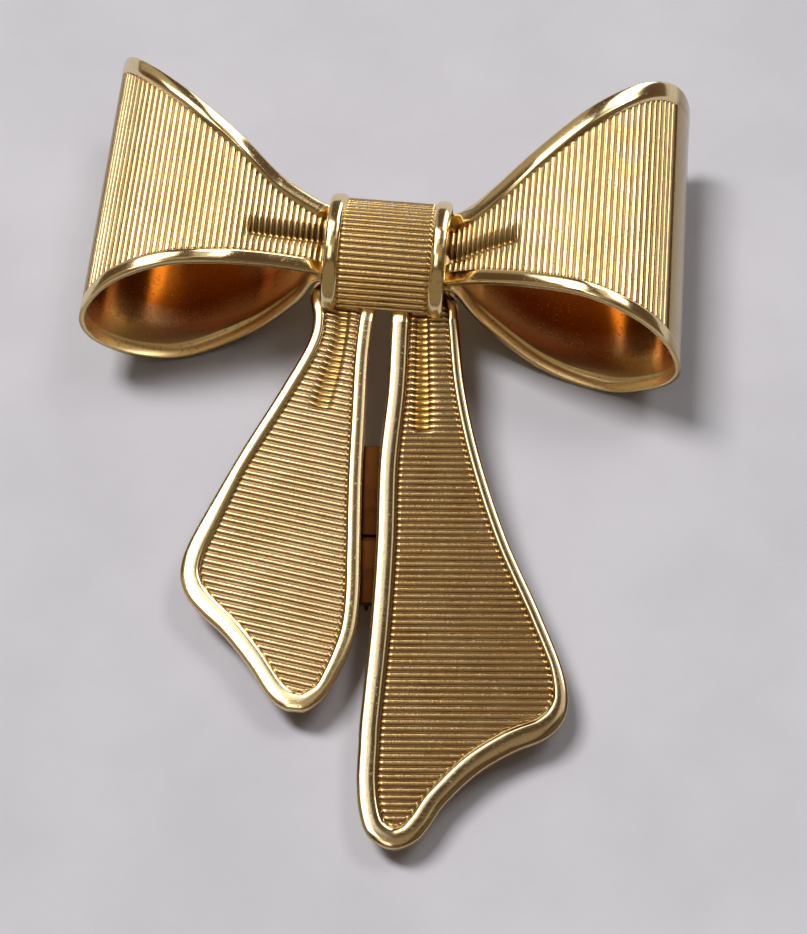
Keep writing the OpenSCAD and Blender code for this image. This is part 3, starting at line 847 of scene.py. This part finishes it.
# a shader group, with the kind of each input told by its value
def newGroup(name, inputs, outputs):
    group = bpy.data.node_groups.new(name, "ShaderNodeTree")
    for label, value in inputs.items():
        kind = "Float" if isinstance(value, float) else {3: "Vector", 4: "Color"}[len(value)]
        socket = group.interface.new_socket(label, in_out="INPUT", socket_type="NodeSocket" + kind)
        socket.default_value = value
    for label, kind in outputs.items():
        group.interface.new_socket(label, in_out="OUTPUT", socket_type="NodeSocket" + kind)
    w = Wires(group)
    return group, w, w.nodes.new("NodeGroupInput").outputs, w.nodes.new("NodeGroupOutput").inputs


# fine handling scratches in three directions, over all the metal
def handlingScratchesGroup():
    group, w, given, result = newGroup("handlingScratches", {"Where": (0, 0, 0), "Density": 0.5},
                                       {"Scratch": "Float"})
    lines = None
    lineWidth = 0.018
    # turn, stretch of the noise, and scale of the patches that the scratches come in
    for turn, stretch, patches in ((0.5, (260, 2600, 2600), 170), (-0.8, (2200, 240, 2200), 118),
                                   (1.9, (300, 3000, 2400), 226)):
        thin = w.noise(w.mapped(given["Where"], stretch, (0, 0, turn)), 1.0, 2.0, 0.5)
        line = w.span(w.math("ABSOLUTE", w.less(thin, 0.5)), 0.0, lineWidth, 1.0, 0.0)
        line = w.times(line, w.span(w.noise(given["Where"], patches, 2.0), 0.48, 0.66))
        lines = line if lines is None else w.math("MAXIMUM", lines, line)
    w.put(result["Scratch"], w.times(lines, given["Density"]))
    return group


# tiny pits and dust in the gilt, and bright specks where glints are painted
def speckleGroup():
    group, w, given, result = newGroup("giltSpeckle", {"Where": (0, 0, 0), "Grain": 5000.0},
                                       {"Light": "Float", "Dark": "Float", "Height": "Float"})
    coarser = 0.45
    fine = w.noise(given["Where"], given["Grain"], 2.0, 0.6)
    coarse = w.noise(given["Where"], w.times(given["Grain"], coarser), 2.0, 0.6)
    w.put(result["Light"], w.span(fine, 0.56, 0.7))
    w.put(result["Dark"], w.span(coarse, 0.58, 0.72))
    w.put(result["Height"], w.plus(fine, coarse))
    return group


# brown grime and painted shade in the grooves, thicker in some places than in others
def settledFilmGroup():
    group, w, given, result = newGroup("settledFilm", {
        "Where": (0, 0, 0), "Groove": 0.0, "Amount": 0.7,
        "Gilt": (0.8, 0.6, 0.3, 1), "Film": (0.2, 0.1, 0.03, 1)},
        {"Color": "Color", "Film": "Float"})
    uneven = w.span(w.noise(given["Where"], 300.0, 3.0), 0.3, 0.7, 0.8, 1.0)
    deep = w.span(given["Groove"], 0.3, 0.8)
    grimeShade = w.math("MULTIPLY", w.times(deep, uneven), given["Amount"], True)
    w.put(result["Color"], w.blend(grimeShade, given["Gilt"], given["Film"]))
    w.put(result["Film"], grimeShade)
    return group


handlingScratches = handlingScratchesGroup()
giltSpeckle = speckleGroup()
settledFilm = settledFilmGroup()

# the gilt of every strip, where its own finish says nothing else
giltSurface = {
    "scratches": 0.35, "grain": 6500.0, "paintedGlintAmount": 0.6, "speckle": 0.35, "grimeShadeAmount": 0.9,
    "mottle": 170.0, "mottleSpan": (0.35, 0.7), "mottleTint": (0.95, 0.89, 0.79),
    # tones at which a pleat's painted shade and the painted reflection at its bottom come in
    "flankTones": (0.0, 0.75), "pleatTones": (0.85, 1.0), "pitTint": 0.45,
    "inside": (0.7, 0.45, 0.2), "insideEdge": (0.7, 0.45, 0.2), "insideRough": 0.34, "edgeRough": 0.34,
    "scratchRough": 0.18, "grimeShadeRough": 0.2, "pitRough": 0.15,
    "bump": 0.4, "rimBump": 0.06, "ribBump": 0.85, "edgeBump": 0.9, "scratchBump": -0.25,
}

# Colours and finish of each strip's gilt. The flank is painted shade on the side of a pleat and at a loop's
# fold, the pleat is a painted reflection at its bottom, the glint is painted on bright specks, the colour
# between the ribs is brown grime with painted shade, and the inside is painted shade, paler toward a loop's
# open edge.
giltFinishes = {
    "loopGilt": {
        "gilt": (0.9, 0.69, 0.35), "rim": (0.86, 0.69, 0.38), "paintedGlint": (1, 0.93, 0.74),
        "flank": (0.3, 0.2, 0.075), "pleat": (0.6, 0.42, 0.17), "grimeShade": (0.25, 0.13, 0.045),
        "inside": (0.24, 0.06, 0.004), "insideEdge": (1, 0.8, 0.4),
        "rimRough": 0.13, "fieldRough": 0.17, "insideRough": 0.2, "edgeRough": 0.42},
    "shortTailGilt": {
        "gilt": (0.88, 0.67, 0.37), "rim": (0.92, 0.75, 0.44), "paintedGlint": (1, 0.92, 0.76),
        "flank": (0.5, 0.33, 0.12), "pleat": (0.86, 0.56, 0.2), "grimeShade": (0.23, 0.12, 0.045),
        "rimRough": 0.14, "fieldRough": 0.17},
    # the long tail is a darker copy of the same gilt, painted shade for the duller light it mirrors
    "longTailShadedGilt": {
        "gilt": (0.76, 0.55, 0.27), "rim": (0.64, 0.51, 0.3), "paintedGlint": (0.98, 0.82, 0.55),
        "flank": (0.3, 0.18, 0.06), "pleat": (1, 0.6, 0.16), "grimeShade": (0.17, 0.085, 0.03),
        "grimeShadeAmount": 1.0, "speckle": 0.4, "rimRough": 0.11, "fieldRough": 0.16},
    "knotGilt": {
        "gilt": (0.82, 0.59, 0.26), "rim": (0.86, 0.69, 0.38), "paintedGlint": (1, 0.88, 0.62),
        "flank": (0.8, 0.5, 0.2), "pleat": (0.8, 0.5, 0.2), "grimeShade": (0.23, 0.115, 0.04),
        "inside": (0.6, 0.38, 0.15), "insideEdge": (0.6, 0.38, 0.15),
        "speckle": 0.3, "rimRough": 0.12, "fieldRough": 0.16},
}
bumpDeep = 0.02                                          # mm


# a bare metal from its colour, roughness and height
def finishMetal(material, w, color, rough, height, bumpStrength):
    shader = w.nodes.new("ShaderNodeBsdfPrincipled")
    shader.inputs["Metallic"].default_value = 1.0
    w.put(shader.inputs["Base Color"], color)
    w.put(shader.inputs["Roughness"], rough)
    w.put(shader.inputs["Normal"], w.bump(height, bumpStrength, bumpDeep))
    w.put(w.nodes.new("ShaderNodeOutputMaterial").inputs[0], shader.outputs[0])
    return material


def newMetal(name):
    material = bpy.data.materials.new(name)
    material.use_nodes = True
    material.node_tree.nodes.clear()
    return material, Wires(material.node_tree)


def makeGilt(name):
    v = {**giltSurface, **giltFinishes[name]}
    material, w = newMetal(name)
    where = w.objectPlace()
    labels = ("groove", "ribbed", "frontSide", "tone")
    groove, ribbed, frontSide, tone = [w.attribute(label) for label in labels]
    scratch = w.placed(handlingScratches, Where=where, Density=v["scratches"]).outputs["Scratch"]
    speckle = w.placed(giltSpeckle, Where=where, Grain=v["grain"]).outputs

    tinted = tuple(c * k for c, k in zip(v["gilt"], v["mottleTint"]))
    warm = w.blend(w.span(w.noise(where, v["mottle"], 4.0), *v["mottleSpan"]), v["gilt"], tinted)
    # painted glints: bright specks on the ribbed field are painted a paler colour
    paintedGlints = w.times(ribbed, v["paintedGlintAmount"], speckle["Light"])
    warm = w.blend(ribbed, v["rim"], w.blend(paintedGlints, warm, v["paintedGlint"]))
    # painted shade on a pleat's sides and at a loop's fold
    warm = w.blend(w.span(tone, *v["flankTones"], kind="LINEAR"), warm, v["flank"])
    # painted reflection at a pleat's bottom
    warm = w.blend(w.span(tone, *v["pleatTones"]), warm, v["pleat"])
    # behind the front: painted shade inside, paler toward a loop's open edge
    gilt = w.blend(frontSide, w.blend(tone, v["inside"], v["insideEdge"]), warm)
    # the grooves between the ribs get brown grime and painted shade
    grimeShade = w.placed(settledFilm, Where=where, Groove=groove, Amount=v["grimeShadeAmount"], Gilt=gilt,
                    Film=v["grimeShade"]).outputs
    pits = tuple(c * v["pitTint"] for c in v["grimeShade"])
    color = w.blend(w.times(speckle["Dark"], v["speckle"]), grimeShade["Color"], pits)

    rough = w.plus(w.times(ribbed, v["fieldRough"] - v["rimRough"]), v["rimRough"])
    behind = w.less(1.0, frontSide)
    openEdge = w.times(behind, tone)
    for mask, more in ((behind, v["insideRough"] - v["rimRough"]),
                       (openEdge, v["edgeRough"] - v["insideRough"]), (scratch, v["scratchRough"]),
                       (grimeShade["Film"], v["grimeShadeRough"]), (speckle["Dark"], v["pitRough"])):
        rough = w.plus(rough, w.times(mask, more))

    plain = w.plus(w.times(openEdge, v["edgeBump"]), v["rimBump"])
    rougher = w.plus(w.times(ribbed, v["ribBump"]), plain)
    height = w.plus(w.times(speckle["Height"], rougher), w.times(scratch, v["scratchBump"]))
    return finishMetal(material, w, color, rough, height, v["bump"])


# the finding's brass is painted dark, painted shade where it lies deep between the tails, with grime in
# patches
findingFinish = {
    "shadedBrass": (0.066, 0.021, 0.005), "grimeShade": (0.035, 0.0135, 0.0045), "grimeShadeAmount": 0.6, "scratches": 0.9,
    "rough": 0.36, "scratchRough": 0.2, "grimeShadeRough": 0.15, "bump": 0.3,
    "patches": 420.0, "patchSpan": (0.45, 0.7),
}


def makeFindingBrass(v):
    material, w = newMetal("findingBrass")
    where = w.objectPlace()
    scratch = w.placed(handlingScratches, Where=where, Density=v["scratches"]).outputs["Scratch"]
    patches = w.span(w.noise(where, v["patches"], 4.0), *v["patchSpan"])
    grimeShade = w.placed(settledFilm, Where=where, Groove=patches, Amount=v["grimeShadeAmount"], Gilt=v["shadedBrass"],
                    Film=v["grimeShade"]).outputs
    rough = w.plus(v["rough"], w.times(scratch, v["scratchRough"]), w.times(grimeShade["Film"], v["grimeShadeRough"]))
    return finishMetal(material, w, grimeShade["Color"], rough, scratch, v["bump"])


loopGilt, knotGilt = makeGilt("loopGilt"), makeGilt("knotGilt")
shortTailGilt, longTailShadedGilt = makeGilt("shortTailGilt"), makeGilt("longTailShadedGilt")
findingBrass = makeFindingBrass(findingFinish)
print("materials are ready")

makeLoop(leftLoop, loopGilt)
makeLoop(rightLoop, loopGilt)
makeTail(shortTail, shortTailGilt)
makeTail(longTail, longTailShadedGilt)
makeKnot(knotGilt)
makeFinding(pinFinding, findingBrass)

floorSheet = {
    "reach": 1.5,        # metres from the middle to each side
    "light": (0.685, 0.67, 0.71), "dark": (0.635, 0.62, 0.66),
    "patches": 60.0, "patchSpan": (0.3, 0.7), "rough": 0.8,
    "grain": 2500.0, "bump": 0.15, "bumpDeep": 0.1,
}


def makeFloor(v):
    mesh = bpy.data.meshes.new("floorSheet")
    corners = [(x * v["reach"], y * v["reach"], 0) for x, y in ((-1, -1), (1, -1), (1, 1), (-1, 1))]
    mesh.from_pydata(corners, [], [(0, 1, 2, 3)])
    floor = newObject("floorSheet", mesh)
    material = bpy.data.materials.new("paleFloor")
    material.use_nodes = True
    w = Wires(material.node_tree)
    shader = w.nodes["Principled BSDF"]
    where = w.objectPlace()
    uneven = w.span(w.noise(where, v["patches"], 4.0), *v["patchSpan"])
    w.put(shader.inputs["Base Color"], w.blend(uneven, v["dark"], v["light"]))
    shader.inputs["Roughness"].default_value = v["rough"]
    w.put(shader.inputs["Normal"], w.bump(w.noise(where, v["grain"], 3.0), v["bump"], v["bumpDeep"]))
    mesh.materials.append(material)


# the photo's camera: angles in degrees, distance from the knot in mm, the rest in pixels
photoCamera = {
    "elevation": 60.5, "azimuth": 6.3, "roll": -0.7, "distance": 186.0, "focal": 1970.0,
    "knotPixel": (388.0, 269.0), "image": (807, 934),
}


def makeCamera(v):
    e, a, r = radians(v["elevation"]), radians(v["azimuth"]), radians(v["roll"])
    away = Vector((sin(a) * cos(e), -cos(a) * cos(e), sin(e)))
    right = Vector((cos(a), sin(a), 0))
    up = right.cross(-away)
    x = right * cos(r) + up * sin(r)
    y = up * cos(r) - right * sin(r)
    width, height = v["image"]
    pixel = v["distance"] / v["focal"]
    aside = -x * (v["knotPixel"][0] - width / 2) * pixel
    higher = y * (v["knotPixel"][1] - height / 2) * pixel
    data = bpy.data.cameras.new("photoCamera")
    data.sensor_fit = "VERTICAL"
    data.sensor_height = 36
    data.lens = v["focal"] * data.sensor_height / height
    data.clip_start = 0.005
    camera = newObject("photoCamera", data)
    place = knotAt + (away * v["distance"] + aside + higher) * mm
    camera.matrix_world = Matrix.Translation(place) @ Matrix((x, y, away)).transposed().to_4x4()
    bpy.context.scene.camera = camera


# What the gilt mirrors: the soft light of a room. Each patch of it lies between two places from west
# to east (across) and from south to north (deep), where 0 is straight above and 1 is the horizon.
room = {
    "dull": (0.1, 0.064, 0.042), "low": (0.14, 0.1, 0.07), "backdrop": (0.52, 0.51, 0.54),
    "soft": 0.035,                                       # half width of a patch's soft edge
    "lowUpTo": 0.35, "horizon": (0.02, 0.12),            # heights, where 1 is straight up
    "tint": (1, 0.985, 0.97), "warmer": (0, 0.26, 0.62),     # a dim patch loses green and blue
    # across from and to, deep from and to, brightness
    "patches": [
        (0.08, 0.46, 0.62, 1.1, 3.6), (-1.1, -0.3, 0.62, 1.1, 0.4), (-0.55, -0.18, 0.36, 0.62, 6.0),
        (-0.18, -0.06, 0.36, 0.6, 3.4), (-0.5, -0.2, -0.04, 0.34, 5.0), (-0.2, 0.24, -0.25, 0.19, 0.36),
        (-0.8, 0.8, -1.1, -0.5, 0.25), (0.14, 0.34, 0.38, 0.62, 0.7), (0.34, 0.54, 0.38, 0.62, 6.0),
        (0.2, 0.56, 0.15, 0.38, 0.8), (-0.2, -0.08, 0.19, 0.36, 1.2), (-0.28, -0.06, -0.4, -0.08, 1.9),
        (-1.1, -0.55, -0.4, 0.2, 0.3), (0.4, 1.1, -0.3, 0.16, 0.15)],
}

# The lamps light the floor and don't show in the gilt. Sizes are in metres.
lampColor = (1, 0.99, 0.985)
lamps = [
    {"name": "ceilingLamp", "toward": (-0.38, 0.15, 0.913), "away": 2.7, "size": (0.54, 1.02),
     "bright": 30.0},
    {"name": "cornerLamp", "toward": (0.36, 0.28, 0.89), "away": 2.7, "size": (0.9, 0.66), "bright": 6.0},
    {"name": "fill", "toward": (-0.1, 0.0, 0.995), "away": 3.6, "size": (6.0, 6.0), "bright": 0.2},
]


def makeLamps():
    for v in lamps:
        toward = Vector(v["toward"])
        data = bpy.data.lights.new(v["name"], "AREA")
        data.shape = "RECTANGLE"
        data.size, data.size_y = v["size"]
        data.energy = v["bright"] * pi * v["size"][0] * v["size"][1]
        data.color = lampColor
        lamp = newObject(v["name"], data)
        lamp.location = toward * v["away"]
        lamp.rotation_euler = (-toward).to_track_quat("-Z", "Y").to_euler()
        lamp.visible_glossy = False


def makeRoom(v):
    world = bpy.data.worlds.new("softRoom")
    bpy.context.scene.world = world
    world.use_nodes = True
    w = Wires(world.node_tree)
    split = w.nodes.new("ShaderNodeSeparateXYZ")
    w.put(split.inputs[0], w.nodes.new("ShaderNodeTexCoord").outputs["Generated"])
    across, deep, up = split.outputs

    def between(value, start, end):
        rise = w.span(value, start - v["soft"], start + v["soft"])
        return w.times(rise, w.span(value, end - v["soft"], end + v["soft"], 1.0, 0.0))

    light = w.blend(w.span(up, 0.0, v["lowUpTo"]), v["low"], v["dull"])
    above = w.span(up, *v["horizon"])
    for west, east, south, north, bright in v["patches"]:
        here = w.times(between(across, west, east), between(deep, south, north), above)
        dim = 1 - min(bright, 1)
        light = w.blend(here, light, [bright * (t - loss * dim) for t, loss in zip(v["tint"], v["warmer"])])
    seen = w.nodes.new("ShaderNodeLightPath").outputs["Is Camera Ray"]
    w.put(w.nodes["Background"].inputs["Color"], w.blend(seen, light, v["backdrop"]))
    world.cycles_visibility.diffuse = False              # it lights nothing, it only shows in the gilt


makeFloor(floorSheet)
makeCamera(photoCamera)
makeLamps()
makeRoom(room)
bpy.context.scene.view_settings.view_transform = "Standard"
print("floor, camera and lights are ready")
